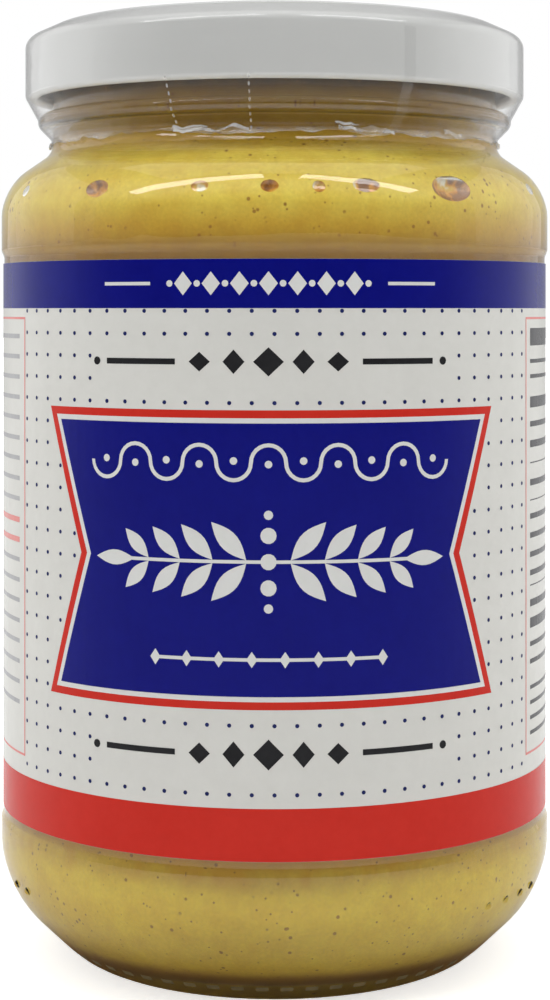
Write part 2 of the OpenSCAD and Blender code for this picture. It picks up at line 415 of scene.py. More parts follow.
# %% The film's sleeve
lid_side = beside(lid_under, 0.30)
film_path = [
    [27.4, lid_top + 0.05, 0], lid_side[5], lid_side[6], [lid_r + 0.05, lid_low + 0.48, 0.77],
    [31.1, bead_z + 0.3, 0.95], [31.1, bead_z - 0.46, 0.95], [29.35, bead_z - 2.21, 0.8],
    [29.36, bead_z - 2.7, 0], [29.38, bead_z - 3.1, 0], [29.45, bead_z - 3.5, 0],
    [29.56, bead_z - 3.8, 0], [29.71, film_low + 0.02, 0],
]
film = turned("shrink_film", film_path + beside(film_path, 0.15)[::-1], closed=True)

# %% [markdown]
# The hem is crinkled with a Displace modifier, which pushes the film up along Z by the brightness of
# a cloud pattern. A vertex group fades the push out above the hem, and the pattern's dark end is
# zero, so that the film only moves upwards.

# %% Crinkles along the film's hem
def limit_to_heights(piece, name, full, none):
    """A vertex group that is full at one height and fades out at another, in millimetres."""
    group = piece.vertex_groups.new(name=name)
    for vertex in piece.data.vertices:
        share = (vertex.co.z / MM - none) / (full - none)
        group.add([vertex.index], max(0, min(1, share)), "REPLACE")
    return name


def crinkle(piece, group, size, strength, direction):
    clouds = bpy.data.textures.new(piece.name + "_clouds", "CLOUDS")
    clouds.noise_scale = size * MM
    clouds.noise_depth = 2
    push = piece.modifiers.new("Crinkle", "DISPLACE")
    push.texture = clouds
    push.texture_coords = "LOCAL"
    push.vertex_group = group
    push.strength = strength * MM
    push.mid_level = 0
    push.direction = direction
    bpy.ops.object.modifier_apply(modifier=push.name)


hem = limit_to_heights(film, "hem", film_low, film_low + 1.8)
crinkle(film, hem, 3.5, 1.6, "Z")
print("film's lowest point", min(v.co.z for v in film.data.vertices) / MM)

# %% [markdown]
# ## The label's paper
# The label is a long strip glued round the body, and its ends overlap at the back. A strip that
# closes on itself is a ring, so the paper is spun like the rest. The overlap is a short arc of the
# same section, one paper thickness further out.

# %% The paper and its overlap
def strip_corners(radius, low, high, thick):
    return [[radius, low, 0], [radius + thick, low, 0], [radius + thick, high, 0], [radius, high, 0]]


def arc_strip(name, corners, middle, width):
    """A short arc of a ring, its middle at an angle from the front and its width along the paper."""
    angle = width / corners[1][0]
    piece = draw_outline(name, corners, closed=True)
    bpy.ops.mesh.select_all(action="SELECT")
    bpy.ops.mesh.edge_face_add()
    bpy.ops.mesh.spin(steps=12, angle=angle, center=(0, 0, 0), axis=(0, 0, 1))
    bpy.ops.mesh.select_all(action="SELECT")
    bpy.ops.mesh.normals_make_consistent(inside=False)
    bpy.ops.object.mode_set(mode="OBJECT")
    piece.rotation_euler = (0, 0, math.radians(middle - 90) + angle / 2)
    settle()
    return piece


paper_r = panel_r + 0.02
paper_t = 0.1
lap_width = 8
paper = turned("label_paper", strip_corners(paper_r, label_low, label_high, paper_t), closed=True)
lap_corners = strip_corners(paper_r + paper_t, label_low, label_high, paper_t)
overlap = arc_strip("overlap", lap_corners, 180, lap_width)
paper = join_all([paper, overlap], "label_paper")
bpy.ops.object.shade_smooth_by_angle(angle=SMOOTH_BELOW)
print("paper's outer radius", max(v.co.y for v in paper.data.vertices) / MM)

# %% [markdown]
# ## Printed shapes
# Print has almost no thickness. It could be painted in the paper's material, but shapes with crisp
# edges stay sharper as thin pieces of their own. Each one is drawn flat, with its place along the
# paper as X and its height as Z, and is later bent round the jar.

# %% Flat shapes
def flat_shape(name, outline):
    """A filled flat shape through (place along the paper, height) corners, facing the front."""
    piece = draw_outline(name, [[s, z, 0] for s, z in outline], closed=True)
    bpy.ops.mesh.select_all(action="SELECT")
    bpy.ops.mesh.edge_face_add()
    bpy.ops.object.mode_set(mode="OBJECT")
    piece.data.update()
    if piece.data.polygons[0].normal.y > 0:
        bpy.ops.object.mode_set(mode="EDIT")
        bpy.ops.mesh.flip_normals()
        bpy.ops.object.mode_set(mode="OBJECT")
    return piece


def bar(name, left, right, low, high):
    return flat_shape(name, [(left, low), (right, low), (right, high), (left, high)])


def lozenge(name, s, z, wide, high):
    return flat_shape(name, [(s - wide / 2, z), (s, z - high / 2), (s + wide / 2, z), (s, z + high / 2)])


def leaf(name, root, tip, width, points=9):
    """A pointed leaf from its root to its tip."""
    along = Vector((tip[0] - root[0], tip[1] - root[1]))
    across = Vector((-along.y, along.x)).normalized() * width / 2
    start = Vector(root)
    shares = [i / points for i in range(points + 1)]
    lower = [start + along * t - across * math.sin(math.pi * t) for t in shares]
    upper = [start + along * t + across * math.sin(math.pi * t) for t in shares[-2:0:-1]]
    return flat_shape(name, [tuple(p) for p in lower + upper])


def spot(name, s, z, diameter, corners=16):
    turns = [2 * math.pi * i / corners for i in range(corners)]
    return flat_shape(name, [(s + diameter / 2 * math.cos(t), z + diameter / 2 * math.sin(t)) for t in turns])


# %% [markdown]
# A flat shape bends only where it has vertices, so it is first sliced into narrow upright strips.
# Then Simple Deform bends it round an upright axis. The bend's angle is the shape's width over the
# radius, which keeps lengths along the paper true.

# %% Slicing and bending a flat shape
def slice_upright(piece, pitch=1.5):
    along = [vertex.co.x for vertex in piece.data.vertices]
    low, high = min(along), max(along)
    count = math.ceil((high - low) / (pitch * MM))
    select_only(piece)
    bpy.ops.object.mode_set(mode="EDIT")
    for i in range(1, count):
        bpy.ops.mesh.select_all(action="SELECT")
        cut = low + (high - low) * i / count
        bpy.ops.mesh.bisect(plane_co=(cut, 0, 0), plane_no=(1, 0, 0))
    bpy.ops.object.mode_set(mode="OBJECT")


def wrap(piece, radius):
    along = [vertex.co.x for vertex in piece.data.vertices]
    bend = piece.modifiers.new("Round the jar", "SIMPLE_DEFORM")
    bend.deform_method = "BEND"
    bend.deform_axis = "Z"
    bend.angle = (max(along) - min(along)) / (radius * MM)
    bpy.ops.object.modifier_apply(modifier=bend.name)
    piece.location = (0, -radius * MM, 0)
    settle()


def print_on(piece, layer):
    """Bends a flat shape on to the label. A higher layer lies over the lower ones."""
    slice_upright(piece)
    wrap(piece, paper_r + paper_t + 0.015 * layer)
    return piece


# %% [markdown]
# ## The two bands of colour
# A deep blue band runs along the label's upper edge and a red one along its lower edge, all the way
# round and over the paper's overlap.

# %% Blue and red bands
print_r = paper_r + paper_t


def colour_band(name, low, high):
    """A thin ring of ink, with a lap over the paper's overlap."""
    ring = turned(name, strip_corners(print_r + 0.005, low, high, 0.01), closed=True)
    lap = arc_strip("lap", strip_corners(print_r + paper_t + 0.005, low, high, 0.01), 180, lap_width)
    return join_all([ring, lap], name)


blue_band = colour_band("print_blue_band", label_high - 5.8, label_high - 0.02)
red_band = colour_band("print_red_band", label_low + 0.02, label_low + 6.2)

# %% [markdown]
# ## The ribbon
# The middle of the label carries a broad blue ribbon with a notch in each end. It has a red edge, a
# fine white line inside it, and then the blue field. The outline is drawn once. Each inner plate is
# a copy of it, inset by a margin, with the rim deleted.

# %% The ribbon's plates
ribbon_low, ribbon_middle, ribbon_high = 37.3, 54.75, 72.2
ribbon_half, notch_half = 30.4, 24.6
ribbon_outline = [
    (-ribbon_half, ribbon_low), (ribbon_half, ribbon_low), (notch_half, ribbon_middle),
    (ribbon_half, ribbon_high), (-ribbon_half, ribbon_high), (-notch_half, ribbon_middle),
]


def inner_plate(plate, name, margin):
    """A copy of a flat plate, smaller by an even margin all round."""
    select_only(plate)
    bpy.ops.object.duplicate()
    piece = bpy.context.object
    piece.name = name
    bpy.ops.object.mode_set(mode="EDIT")
    bpy.ops.mesh.select_mode(type="FACE")
    bpy.ops.mesh.select_all(action="SELECT")
    bpy.ops.mesh.inset(thickness=margin * MM, use_even_offset=True)
    bpy.ops.mesh.select_all(action="INVERT")
    bpy.ops.mesh.delete(type="FACE")
    bpy.ops.object.mode_set(mode="OBJECT")
    return piece


ribbon_red = flat_shape("print_ribbon_edge", ribbon_outline)
ribbon_white = inner_plate(ribbon_red, "print_ribbon_line", 0.93)
ribbon_blue = inner_plate(ribbon_white, "print_ribbon_field", 0.6)
print("ribbon plates", [len(p.data.polygons) for p in (ribbon_red, ribbon_white, ribbon_blue)])
print_on(ribbon_red, 1)
print_on(ribbon_white, 2)
print_on(ribbon_blue, 3)

# %% [markdown]
# On the real label the middle of the print sits a little to the left. A piece that is bent already
# moves along the paper when it is turned round the upright axis.

# %% Moving print along the paper
off_centre = -0.7


def move_along(piece, along):
    select_only(piece)
    piece.rotation_euler = (0, 0, along / print_r)
    settle()


for plate in (ribbon_red, ribbon_white, ribbon_blue):
    move_along(plate, off_centre)
print("ribbon reaches", max(v.co.x for v in ribbon_red.data.vertices) / MM)

# %% [markdown]
# ## The field of dots
# The paper between the bands is covered with a fine grid of navy dots. One dot is drawn, and two
# Array modifiers repeat it along a row and up the label. Dots under the ribbon and in the two
# cleared windows are then picked by their place and deleted. The side panels get no dots, because
# the three fields of dots are placed beside them.

# %% The grid of dots
dot_pitch = (2.65, 2.685)
dot_rows, front_columns, side_columns = 22, 29, 9
first_row = 27.4
side_start = 84.5
window_rows, window_half = (1, 2, 18, 19), 23.3
bare_margin = 0.3


def repeat(piece, count, offset):
    grid = piece.modifiers.new("Repeat", "ARRAY")
    grid.count = count
    grid.use_relative_offset = False
    grid.use_constant_offset = True
    grid.constant_offset_displace = Vector(offset) * MM
    bpy.ops.object.modifier_apply(modifier=grid.name)


def half_ribbon(z):
    """Half the ribbon's width at a height, notch and all."""
    return notch_half + (ribbon_half - notch_half) * abs(z - ribbon_middle) / (ribbon_high - ribbon_middle)


def no_dot(s, z):
    row = round((z - first_row) / dot_pitch[1])
    at_ribbon = ribbon_low - bare_margin < z < ribbon_high + bare_margin
    under_ribbon = at_ribbon and abs(s - off_centre) < half_ribbon(z) + bare_margin
    in_window = row in window_rows and abs(s) < window_half
    return under_ribbon or in_window


def dot_field(name, left, columns):
    piece = spot(name, left, first_row, 0.52, corners=8)
    repeat(piece, columns, (dot_pitch[0], 0, 0))
    repeat(piece, dot_rows, (0, 0, dot_pitch[1]))
    bpy.ops.object.mode_set(mode="EDIT")

    def cleared(co):
        s, z = co.x / MM, co.z / MM
        column = left + dot_pitch[0] * round((s - left) / dot_pitch[0])
        height = first_row + dot_pitch[1] * round((z - first_row) / dot_pitch[1])
        return no_dot(column, height)

    pick(piece, cleared)
    bpy.ops.mesh.delete(type="VERT")
    bpy.ops.object.mode_set(mode="OBJECT")
    return piece


dots_front = dot_field("print_dots", -(front_columns // 2) * dot_pitch[0], front_columns)
dots_right = dot_field("dots_right", side_start, side_columns)
dots_left = dot_field("dots_left", -side_start - (side_columns - 1) * dot_pitch[0], side_columns)
for piece in (dots_front, dots_right, dots_left):
    select_only(piece)
    wrap(piece, print_r + 0.015)
dots = join_all([dots_front, dots_right, dots_left], "print_dots")
print("dots are made of", len(dots.data.polygons), "faces")

# %% [markdown]
# ## The side panels
# Left and right of the dots there are two plain panels with a fine pale red outline. The right one
# is ruled like a table, with a few heavy bars, and the left one has rows of fine grey rules. They
# say nothing: the rules only give the panels their weight.

# %% Outlines of the side panels
def frame_of_bars(name, left, right, low, high, thick):
    return [
        bar(name, left, right, low, low + thick), bar(name, left, right, high - thick, high),
        bar(name, left, left + thick, low, high), bar(name, right - thick, right, low, high),
    ]


panel_low, panel_high = 28.2, 83.0
panel_line = 0.28
panel_red = []
for left, right in ((38.3, 82.3), (-82.3, -37.7)):
    panel_red += frame_of_bars("panel", left, right, panel_low, panel_high, panel_line)
for piece in panel_red:
    print_on(piece, 1)
panel_red = join_all(panel_red, "print_panel_lines")

# %% [markdown]
# A rule of the right panel is written as [lower edge, upper edge, right end]. The left panel's rules
# have ragged lengths, which come from a random number generator with a fixed seed.

# %% Black rules of the right panel
table_left = 39.9
table_rows = [
    [79.4, 81.6, 62], [77.2, 77.7, 57], [75.3, 75.8, 53],
    [71.6, 73.0, 80], [69.2, 69.9, 51], [66.6, 67.5, 60], [64.6, 64.75, 80],
    [61.8, 62.6, 58], [59.9, 60.05, 80], [57.6, 58.3, 56], [55.2, 55.9, 54],
    [52.8, 53.5, 61], [50.5, 51.2, 57], [49.2, 49.35, 80], [46.6, 47.5, 59],
    [43.9, 45.2, 80], [41.6, 42.2, 66], [39.4, 40.0, 71], [36.2, 36.7, 74],
    [34.3, 34.8, 69], [32.4, 32.9, 73], [30.5, 31.0, 60],
]
table_black = [bar("rule", table_left, right, low, high) for low, high, right in table_rows]
for piece in table_black:
    print_on(piece, 1)
table_black = join_all(table_black, "print_table_rules")
print("table rules have", len(table_black.data.polygons), "faces")

# %% Grey rules of the left panel
rng = random.Random(7)
rules_end = -39.6
top_rule, rule_pitch, rule_half = 80.6, 2.55, 0.28
kept_for_red = (9, 10)
grey_rules = []
for i in range(19):
    z = top_rule - rule_pitch * i
    if i not in kept_for_red:
        start = rules_end - rng.uniform(26, 39)
        grey_rules.append(bar("rule", start, rules_end, z - rule_half, z + rule_half))
red_rules = [bar("rule", -68, rules_end, 57.2, 57.9), bar("rule", -61, rules_end, 54.7, 55.4)]
for piece in grey_rules + red_rules:
    print_on(piece, 1)
grey_rules = join_all(grey_rules, "print_grey_rules")
red_rules = join_all(red_rules, "print_red_rules")

# %% [markdown]
# ## Ornaments
# The bands, the windows and the ribbon carry simple printers' ornaments: lozenges, rules, a running
# wave and a sprig with leaves and seeds.

# %% White lozenges on the blue band
band_middle = label_high - 2.9
chain_pitch = 3.4
lozenges = [lozenge("lozenge", chain_pitch * i, band_middle, 2.2, 2.8) for i in range(-3, 4)]
lozenges += [spot("spot", chain_pitch * i + chain_pitch / 2, band_middle, 0.8, 10) for i in range(-4, 4)]
lozenges += [bar("rule", s - 3.2, s + 3.2, band_middle - 0.2, band_middle + 0.2) for s in (-17.6, 17.6)]
for piece in lozenges:
    print_on(piece, 2)
lozenges = join_all(lozenges, "print_band_lozenges")
move_along(lozenges, off_centre)

# %% Black rules and lozenges in the two windows
window_black = []
for middle, high in ((77.85, 3.4), (32.1, 3.6)):
    for i in range(-2, 3):
        window_black.append(lozenge("lozenge", 4.1 * i, middle, 2.6 if i else 3.6, high - 0.55 * abs(i)))
    for side in (-1, 1):
        inner, outer = sorted((side * 11.2, side * 20.5))
        window_black.append(bar("rule", inner, outer, middle - 0.35, middle + 0.35))
        window_black.append(spot("spot", side * 22.0, middle, 1.0, 12))
for piece in window_black:
    print_on(piece, 1)
window_black = join_all(window_black, "print_window_rules")
move_along(window_black, off_centre)

# %% A running wave on the ribbon
def half_ring(name, s, z, inner, outer, over):
    """Half a flat ring that opens downwards or upwards."""
    turns = [math.pi * i / 12 for i in range(13)]
    sign = 1 if over else -1
    rim = [(s + outer * math.cos(t), z + sign * outer * math.sin(t)) for t in turns]
    bore = [(s + inner * math.cos(t), z + sign * inner * math.sin(t)) for t in turns[::-1]]
    return flat_shape(name, rim + bore)


wave_z, wave_pitch = 66.1, 4.1
swings = range(-5, 6)
wave = [half_ring("wave", wave_pitch * i, wave_z, 1.82, 2.28, i % 2 == 0) for i in swings]
wave += [spot("spot", wave_pitch * i, wave_z + (-0.2 if i % 2 == 0 else 0.2), 0.9, 12) for i in swings]

# %% A sprig with leaves and seeds
sprig_z = 54.55
stem_half = 0.2
leaf_tilt = math.radians(48)
sprig = [bar("stem", -18, 18, sprig_z - stem_half, sprig_z + stem_half)]
for side in (-1, 1):
    for i in range(4):
        root = side * (2.6 + 4.0 * i)
        long = 6.2 - 0.5 * i
        for up in (-1, 1):
            tip = (root + side * long * math.cos(leaf_tilt), sprig_z + up * long * math.sin(leaf_tilt))
            sprig.append(leaf("leaf", (root, sprig_z + up * stem_half), tip, 2.2 - 0.15 * i))
    sprig.append(leaf("leaf", (side * 16.5, sprig_z), (side * 22, sprig_z), 1.8))
sprig += [spot("seed", 0, z, 1.9, 14) for z in (sprig_z, 57.6, 51.5)]
sprig += [spot("seed", 0, z, 1.1, 12) for z in (60.0, 49.1)]

# %% A rule with lozenges under the sprig
rule_z = 43.15
rule_line = [bar("rule", 3.9 * i - 1.5, 3.9 * i + 1.5, rule_z - 0.2, rule_z + 0.2) for i in range(-3, 4)]
for s in (1.95, 5.85, 9.75, 13.7):
    rule_line += [lozenge("lozenge", side * s, rule_z, 1.3, 1.9) for side in (-1, 1)]
ribbon_white_shapes = wave + sprig + rule_line
for piece in ribbon_white_shapes:
    print_on(piece, 4)
ribbon_ornament = join_all(ribbon_white_shapes, "print_ribbon_ornament")
move_along(ribbon_ornament, off_centre)
print("ribbon ornament has", len(ribbon_ornament.data.polygons), "faces")

# %% [markdown]
# ## The perforation and the seam of the film
# The band is meant to be torn off, so two rows of short cuts run down it, and its tube is welded
# along one narrow upright seam. Both follow the film's own section, so its outer path is walked at
# an even pace, and short strips are spun from it by a small angle.

# %% Points at an even pace along a path
def walk(path, pace):
    """Places at an even pace along the straight pieces of a path, in millimetres."""
    points = []
    left_over = 0
    for before, after in zip(path, path[1:]):
        start, way = Vector(before[:2]), Vector(after[:2]) - Vector(before[:2])
        at = left_over
        while at < way.length:
            points.append(tuple(start + way * at / way.length))
            at += pace
        left_over = at - way.length
    return points


print("points along the film, one each millimetre:", len(walk(film_path, 1)))

# %% Cut marks and the seam
film_outer = beside(film_path, 0.165)
film_side = [list(corner[:2]) + [0] for corner in film_outer[3:10]]


def upright_mark(name, low_high, angle, width):
    """A narrow strip that lies on the film between two points of its section."""
    piece = draw_outline(name, [[r, z, 0] for r, z in low_high], closed=False)
    bpy.ops.mesh.select_all(action="SELECT")
    bpy.ops.mesh.spin(steps=2, angle=width / low_high[0][0], center=(0, 0, 0), axis=(0, 0, 1))
    bpy.ops.object.mode_set(mode="OBJECT")
    piece.rotation_euler = (0, 0, math.radians(angle - 90))
    settle()
    return piece


marks = []
cut_pace, cut_width = 0.5, 0.22
seam_angle, seam_width = 31, 1.6
points = walk(film_side, cut_pace)
for angle in (-23.2, -5.2):
    for i in range(0, len(points) - 1, 2):
        marks.append(upright_mark("mark", points[i:i + 2], angle, cut_width))
marks = join_all(marks, "film_cuts")
seam_path = [list(corner[:2]) + [0.6] for corner in film_outer[2:10]]
seam_path[0] = [lid_r + 0.215, slope_end_z - 0.9, 0]
seam_path[-1][2] = 0
seam = draw_outline("film_seam", seam_path, closed=False)
round_corners(seam, seam_path)
bpy.ops.mesh.select_all(action="SELECT")
bpy.ops.mesh.spin(steps=4, angle=seam_width / lid_r, center=(0, 0, 0), axis=(0, 0, 1))
bpy.ops.object.mode_set(mode="OBJECT")
seam.rotation_euler = (0, 0, math.radians(seam_angle - 90))
settle()
print("cut marks have", len(marks.data.polygons), "faces, the seam", len(seam.data.polygons))

# %% [markdown]
# Where the hem shrank unevenly, it folded over itself, and the doubled film turns milky. Its bright
# white is partly that haze and partly a painted highlight of the light that the folds catch. Each
# fold is a short arc of a narrow strip just outside the hem, made ragged with the same crinkle as
# the hem.

# %% Folds along the hem
fold_r, fold_t = 29.78, 0.15


def hem_fold(angle, wide, high, up):
    low = film_low + up
    top = low + high
    strip = [[fold_r, low, 0], [fold_r + fold_t, low, 0], [fold_r, top, 0], [fold_r - fold_t, top, 0]]
    fold = arc_strip("fold", strip, angle, wide)
    bpy.ops.object.mode_set(mode="EDIT")
    bpy.ops.mesh.select_all(action="SELECT")
    bpy.ops.mesh.subdivide(number_cuts=3)
    bpy.ops.object.mode_set(mode="OBJECT")
    everywhere = limit_to_heights(fold, "all", film_low - 5, film_low - 10)
    crinkle(fold, everywhere, 2.6, 1.5, "Z")
    return fold


fold_sizes = [
    [-15, 9.5, 0.36, 0.2], [-20, 4.5, 0.25, 0.6], [22, 7.4, 0.5, 0.3], [17, 3.0, 0.28, 0.9],
    [48, 3.5, 0.5, 0.2], [112, 8.0, 0.6, 0.3], [170, 6.0, 0.5, 0.1], [-95, 7.0, 0.6, 0.2],
]
folds = join_all([hem_fold(*size) for size in fold_sizes], "film_folds")
print("folds have", len(folds.data.polygons), "faces")

# %% [markdown]
# ## Materials
# Each finish starts from the Principled shader. What is the same all over a surface is set on the
# shader itself, and what varies comes from noise on object coordinates, in the surface's own scale.

# %% Small helpers for materials
def start_material(name):
    material = bpy.data.materials.new(name)
    material.use_nodes = True
    tree = material.node_tree
    shader = tree.nodes["Principled BSDF"]
    spots = tree.nodes.new("ShaderNodeTexCoord")
    return material, tree, shader, spots.outputs["Object"]


def noise(tree, coords, scale, detail=3, roughness=0.55):
    node = tree.nodes.new("ShaderNodeTexNoise")
    node.inputs["Scale"].default_value = scale
    node.inputs["Detail"].default_value = detail
    node.inputs["Roughness"].default_value = roughness
    tree.links.new(coords, node.inputs["Vector"])
    return node.outputs["Fac"]


def ramp(tree, value, stops):
    """A colour ramp with (position, colour) stops."""
    node = tree.nodes.new("ShaderNodeValToRGB")
    band = node.color_ramp
    while len(band.elements) < len(stops):
        band.elements.new(0.5)
    for element, (position, colour) in zip(band.elements, stops):
        element.position = position
        element.color = (*colour, 1) if len(colour) == 3 else colour
    tree.links.new(value, node.inputs["Fac"])
    return node.outputs["Color"]


def mix_colour(tree, share, under, over, blend="MIX"):
    node = tree.nodes.new("ShaderNodeMix")
    node.data_type = "RGBA"
    node.blend_type = blend
    for value, socket in ((share, node.inputs[0]), (under, node.inputs[6]), (over, node.inputs[7])):
        if isinstance(value, bpy.types.NodeSocket):
            tree.links.new(value, socket)
        else:
            socket.default_value = value
    return node.outputs[2]


def grey(value):
    return (value, value, value)


def bump(tree, shader, height, distance, strength=1.0):
    node = tree.nodes.new("ShaderNodeBump")
    node.inputs["Distance"].default_value = distance * MM
    node.inputs["Strength"].default_value = strength
    tree.links.new(height, node.inputs["Height"])
    tree.links.new(node.outputs["Normal"], shader.inputs["Normal"])
    return node


def wear(piece, material):
    piece.data.materials.clear()
    piece.data.materials.append(material)


# %% [markdown]
# ### Glass
# Real glass bends light and hardly tints it. Transmission with an index of 1.5 does that, and a
# very gentle bump stands for the slightly wavy skin of moulded glass. The pads round the heel are
# left rough by the mould, so they get a frosted finish of their own, with a dark olive brown that
# is painted shade of the foot. Light that has to reach the mustard through glass would be slow and
# noisy to trace, so for shadow rays the glass is simply clear, with the faint green that a thick
# wall leaves.

# %% Glass material
glass_material, tree, shader, coords = start_material("clear_glass")
shader.inputs["Base Color"].default_value = (0.985, 0.995, 0.985, 1)
shader.inputs["Roughness"].default_value = 0.015
shader.inputs["IOR"].default_value = 1.5
shader.inputs["Transmission Weight"].default_value = 1
bump(tree, shader, noise(tree, coords, 55, 2), 0.22)
path = tree.nodes.new("ShaderNodeLightPath")
clear = tree.nodes.new("ShaderNodeBsdfTransparent")
clear.inputs["Color"].default_value = (0.95, 0.965, 0.95, 1)
switch = tree.nodes.new("ShaderNodeMixShader")
tree.links.new(path.outputs["Is Shadow Ray"], switch.inputs[0])
tree.links.new(shader.outputs[0], switch.inputs[1])
tree.links.new(clear.outputs[0], switch.inputs[2])
tree.links.new(switch.outputs[0], tree.nodes["Material Output"].inputs["Surface"])
wear(glass, glass_material)

# %% Frosted pads, with painted shade
pad_material, tree, shader, coords = start_material("frosted_pads_painted_shade")
# Painted shade: the pads' dark olive brown stands for the shade round the foot, over a real frosted finish.
tone = ramp(tree, noise(tree, coords, 800, 2), [(0.3, (0.19, 0.16, 0.075)), (0.7, (0.29, 0.25, 0.13))])
tree.links.new(tone, shader.inputs["Base Color"])
shader.inputs["Roughness"].default_value = 0.5
shader.inputs["Transmission Weight"].default_value = 0.25
glass.data.materials.append(pad_material)
pad_faces = [face for face in glass.data.polygons if on_a_pad(face.center)]
for face in pad_faces:
    face.material_index = 1
print("frosted faces", len(pad_faces))

# %% [markdown]
# ### Mustard
# Mustard is a dull warm yellow paste of ground seed. Three sizes of noise give it its broad uneven
# tone, its soft mottling and its grain, and small dark specks are bits of seed hull. The tone stays
# between straw and ochre, because a green or an orange cast shows at once.

# %% Painted shade on the mustard, by height
scale_top = 120


def by_height(tree, coords, stops):
    """A colour ramp whose stops are heights in millimetres."""
    height = tree.nodes.new("ShaderNodeSeparateXYZ")
    tree.links.new(coords, height.inputs[0])
    share = tree.nodes.new("ShaderNodeMapRange")
    share.inputs["From Max"].default_value = scale_top * MM
    tree.links.new(height.outputs["Z"], share.inputs["Value"])
    return ramp(tree, share.outputs[0], [(z / scale_top, colour) for z, colour in stops])


def painted_shade_by_height(tree, coords):
    """Painted shade: darker and browner beside the label's edges, where the label shades the paste, in the
    neck and under the lid, where the lid shades it, and at the very bottom. Between the bottom and the label
    the paste is a little more saturated.
    """
    full, low, in_neck = (1, 1, 1), (1.0, 0.93, 0.45), (0.97, 0.79, 0.38)
    stops = [
        (4.85, (0.45, 0.28, 0.10)), (5.9, low), (15.2, low), (17.6, (0.96, 0.80, 0.40)),
        (19, (0.84, 0.57, 0.28)), (91, (0.46, 0.31, 0.17)), (94, (0.77, 0.62, 0.37)), (97, full),
        (101, full), (104.5, in_neck), (106.8, (0.46, 0.34, 0.14)), (108.6, (0.72, 0.55, 0.28)),
        (110.2, (0.50, 0.37, 0.22)), (110.9, (0.26, 0.18, 0.09)), (111.7, (0.10, 0.07, 0.03)),
    ]
    return by_height(tree, coords, stops)


def oily_stains(tree, coords):
    """Orange-brown stains under the label's lower edge, where a little oil has parted from the paste."""
    patches = ramp(tree, noise(tree, coords, 190, 3), [(0.49, grey(0)), (0.61, grey(0.7))])
    where = by_height(tree, coords, [(15.6, grey(0.1)), (17.4, grey(1)), (20, grey(1)), (22, grey(0.1))])
    return mix_colour(tree, 1.0, patches, where, "MULTIPLY")


# %% Specks of seed hull
def hull_specks(tree, coords, scale, size, spread, strength):
    """One small spot in some of the cells of a Voronoi pattern. A noise picks the cells."""
    cells = tree.nodes.new("ShaderNodeTexVoronoi")
    cells.inputs["Scale"].default_value = scale
    tree.links.new(coords, cells.inputs["Vector"])
    spot_shape = ramp(tree, cells.outputs["Distance"], [(size * 0.6, grey(strength)), (size, grey(0))])
    chosen = ramp(tree, noise(tree, coords, scale / 2.3, 1), [(spread, grey(0)), (spread + 0.06, grey(1))])
    return mix_colour(tree, 1.0, spot_shape, chosen, "MULTIPLY")


# %% Mustard material
def mustard_paint(name, dark, light):
    material, tree, shader, coords = start_material(name)
    broad = ramp(tree, noise(tree, coords, 45, 3), [(0.34, dark), (0.66, light)])
    mottle = ramp(tree, noise(tree, coords, 420, 4, 0.6), [(0.3, (0.90, 0.82, 0.68)), (0.7, grey(1.0))])
    grain = ramp(tree, noise(tree, coords, 2600, 2), [(0.3, grey(0.90)), (0.7, grey(1.0))])
    toned = mix_colour(tree, 1.0, broad, mottle, "MULTIPLY")
    grained = mix_colour(tree, 1.0, toned, grain, "MULTIPLY")
    fine_specks = hull_specks(tree, coords, 1100, 0.18, 0.50, 0.85)
    large_specks = hull_specks(tree, coords, 680, 0.18, 0.52, 0.85)
    speck = mix_colour(tree, 1.0, fine_specks, large_specks, "ADD")
    # Painted shade by height is multiplied in here: darker beside the label's edges, in the neck and at the
    # very bottom.
    shaded = mix_colour(tree, 1.0, grained, painted_shade_by_height(tree, coords), "MULTIPLY")
    stained = mix_colour(tree, oily_stains(tree, coords), shaded, (0.72, 0.37, 0.012, 1))
    final = mix_colour(tree, speck, stained, (0.33, 0.14, 0.015, 1))
    tree.links.new(final, shader.inputs["Base Color"])
    shader.inputs["Roughness"].default_value = 0.42
    bump(tree, shader, noise(tree, coords, 700, 3), 0.03)
    return material


mustard_material = mustard_paint("mustard_paste", (0.845, 0.65, 0.078), (0.915, 0.75, 0.125))
# In the pockets the paste is dark to orange-brown in a noise pattern, with pale grey-cream patches that are a
# painted highlight of the bubbles' shine.
pocket_material, tree, shader, coords = start_material("mustard_in_pockets")
pocket_colours_and_highlight = [
    (0.40, (0.26, 0.09, 0.002)), (0.50, (0.68, 0.29, 0.006)),
    (0.57, (0.72, 0.46, 0.06)), (0.66, (0.86, 0.82, 0.68)),
]
tree.links.new(ramp(tree, noise(tree, coords, 520, 2), pocket_colours_and_highlight), shader.inputs["Base Color"])
shader.inputs["Roughness"].default_value = 0.3
bump(tree, shader, noise(tree, coords, 900, 2), 0.12)
wear(mustard, mustard_material)
mustard.data.materials.append(pocket_material)
pocket_faces = 0
for face in mustard.data.polygons:
    from_bend = Vector((face.center.xy.length / MM - bend_centre[0], face.center.z / MM - bend_centre[1]))
    near = min((face.center - centre).length - reach for centre, reach in pocket_places)
    face.material_index = 1 if near < 0 and from_bend.length < bend_r - 0.07 else 0
    pocket_faces += face.material_index
print("pocket faces", pocket_faces)

# %% [markdown]
# ### Lid lacquer
# The lid's white lacquer is smooth and a little glossy, with the faint orange peel of a baked
# coating and the slightest change of tone.

# %% Lid material
lid_material, tree, shader, coords = start_material("white_lacquer")
tone = ramp(tree, noise(tree, coords, 60, 3), [(0.3, (0.68, 0.685, 0.668)), (0.7, (0.71, 0.715, 0.698))])
tree.links.new(tone, shader.inputs["Base Color"])
shader.inputs["Roughness"].default_value = 0.32
shader.inputs["Coat Weight"].default_value = 0.4
shader.inputs["Coat Roughness"].default_value = 0.12
bump(tree, shader, noise(tree, coords, 1400, 2), 0.01)
wear(lid, lid_material)
